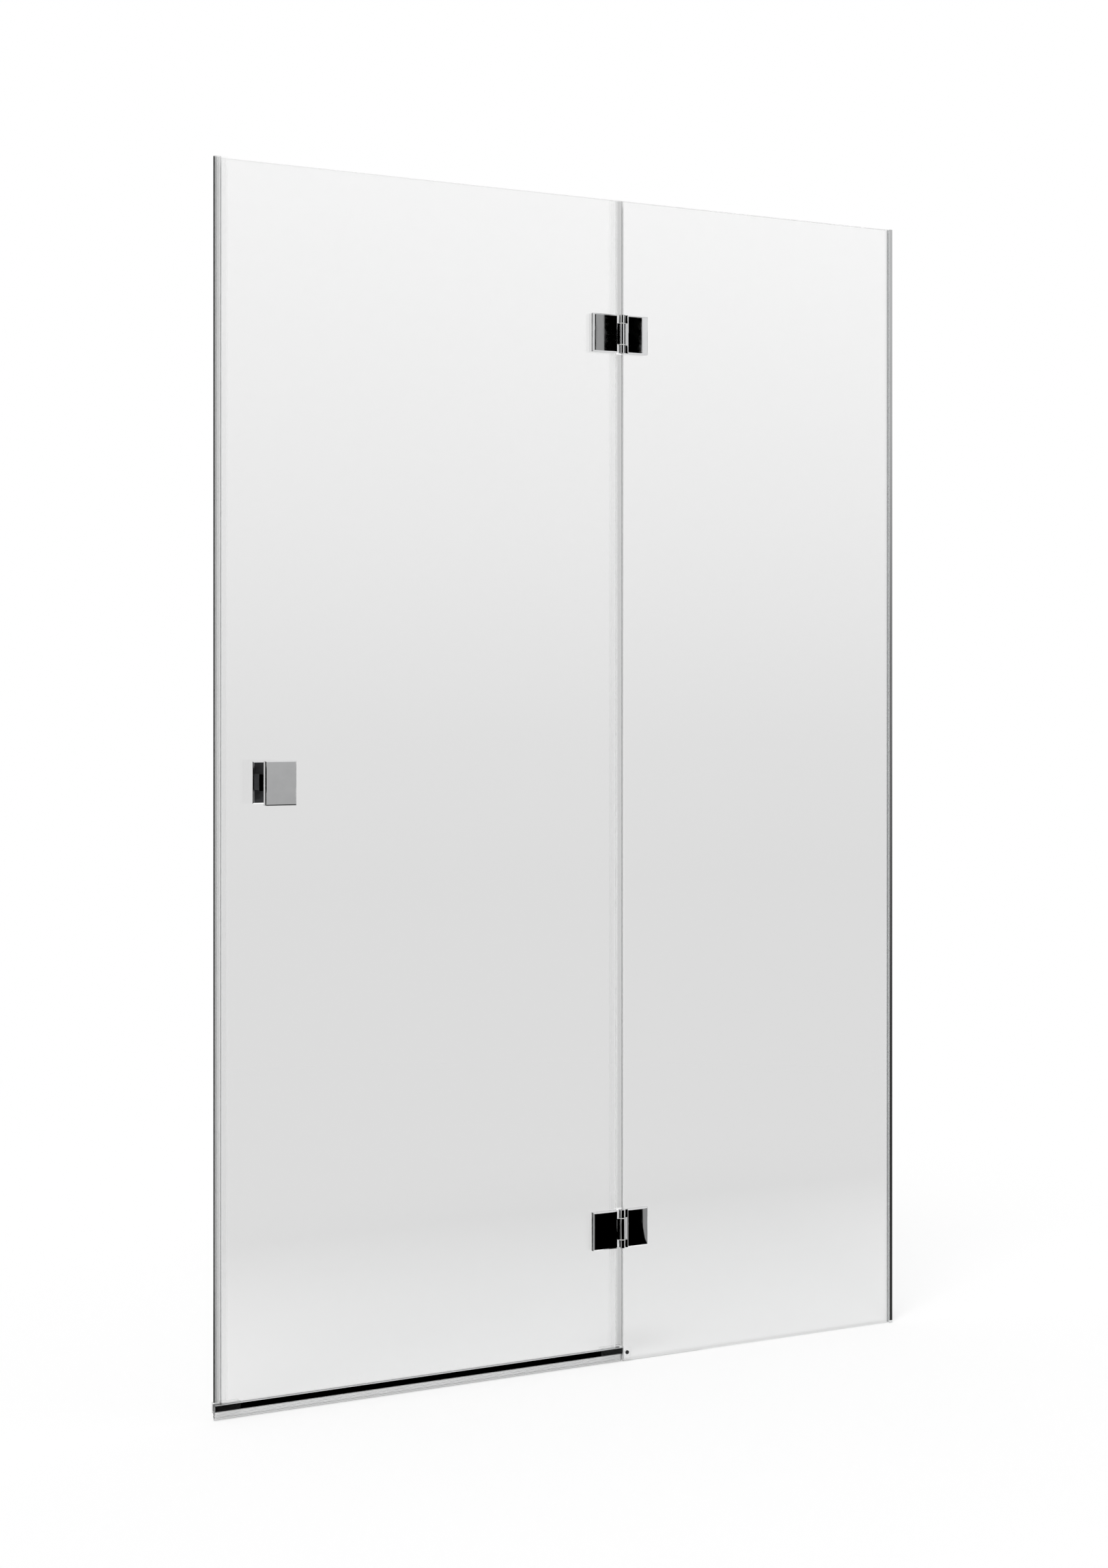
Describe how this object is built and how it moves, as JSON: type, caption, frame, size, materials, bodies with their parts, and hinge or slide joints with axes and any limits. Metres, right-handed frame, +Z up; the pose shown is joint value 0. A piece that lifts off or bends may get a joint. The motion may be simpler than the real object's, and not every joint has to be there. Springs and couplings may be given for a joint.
{
  "type": "hinged shower door",
  "caption": "Frameless hinged glass shower door on a fixed in-line glass panel, with chrome glass-to-glass hinges, clear edge seals, a bottom drip rail and a square pull handle.",
  "frame": {"origin": "foot of the wall channel: the wall plane, the middle of the glass thickness, the tray surface", "axes": "+X along the panes into the wall, +Y into the shower, +Z up; the outside of the door faces -Y"},
  "size_m": [1.285, 0.064, 1.952],
  "materials": {
    "clear_glass": "clear toughened glass, 8 mm, polished arrissed edges",
    "polished_chrome": "mirror-polished chrome plate",
    "clear_pvc": "clear extruded PVC, slightly grey",
    "clear_silicone": "translucent soft sheet",
    "white_nylon": "natural nylon",
    "stainless_steel": "plain stainless steel",
    "black_rubber": "matt black rubber"
  },
  "bodies": {
    "fixed_screen": {"corner_bumper": "black_rubber", "corner_clip": "clear_pvc", "fixed_back_plates": "polished_chrome", "fixed_clamp_blocks": "white_nylon", "fixed_clamp_gaskets": "clear_silicone", "fixed_clamp_screws": "stainless_steel", "fixed_glass": "clear_glass", "glazing_gasket": "clear_silicone", "hinge_fixed_leaves": "polished_chrome", "hinge_pins": "stainless_steel", "wall_channel": "polished_chrome"},
    "door": {"bottom_rail": "polished_chrome", "bottom_sweep": "clear_pvc", "closing_seal": "clear_pvc", "door_back_plates": "polished_chrome", "door_clamp_blocks": "white_nylon", "door_clamp_gaskets": "clear_silicone", "door_clamp_screws": "stainless_steel", "door_glass": "clear_glass", "handle_grub_screw": "stainless_steel", "handle_inner_plate": "polished_chrome", "handle_neck": "polished_chrome", "handle_plate": "polished_chrome", "handle_rose": "polished_chrome", "handle_screw": "stainless_steel", "handle_sleeve": "white_nylon", "handle_washers": "clear_silicone", "hinge_bushes": "white_nylon", "hinge_door_leaves": "polished_chrome", "hinge_seal_bottom": "clear_pvc", "hinge_seal_middle": "clear_pvc", "hinge_seal_top": "clear_pvc", "rail_bedding": "clear_silicone", "rail_cap_left": "clear_pvc", "rail_cap_right": "clear_pvc"}
  },
  "joints": [
    {"name": "door_hinge", "type": "hinge", "parent": "fixed_screen", "child": "door", "pos_m": [-0.561, -0.01, 0], "axis": [0, 0, 1], "range_deg": [0, 120]}
  ]
}
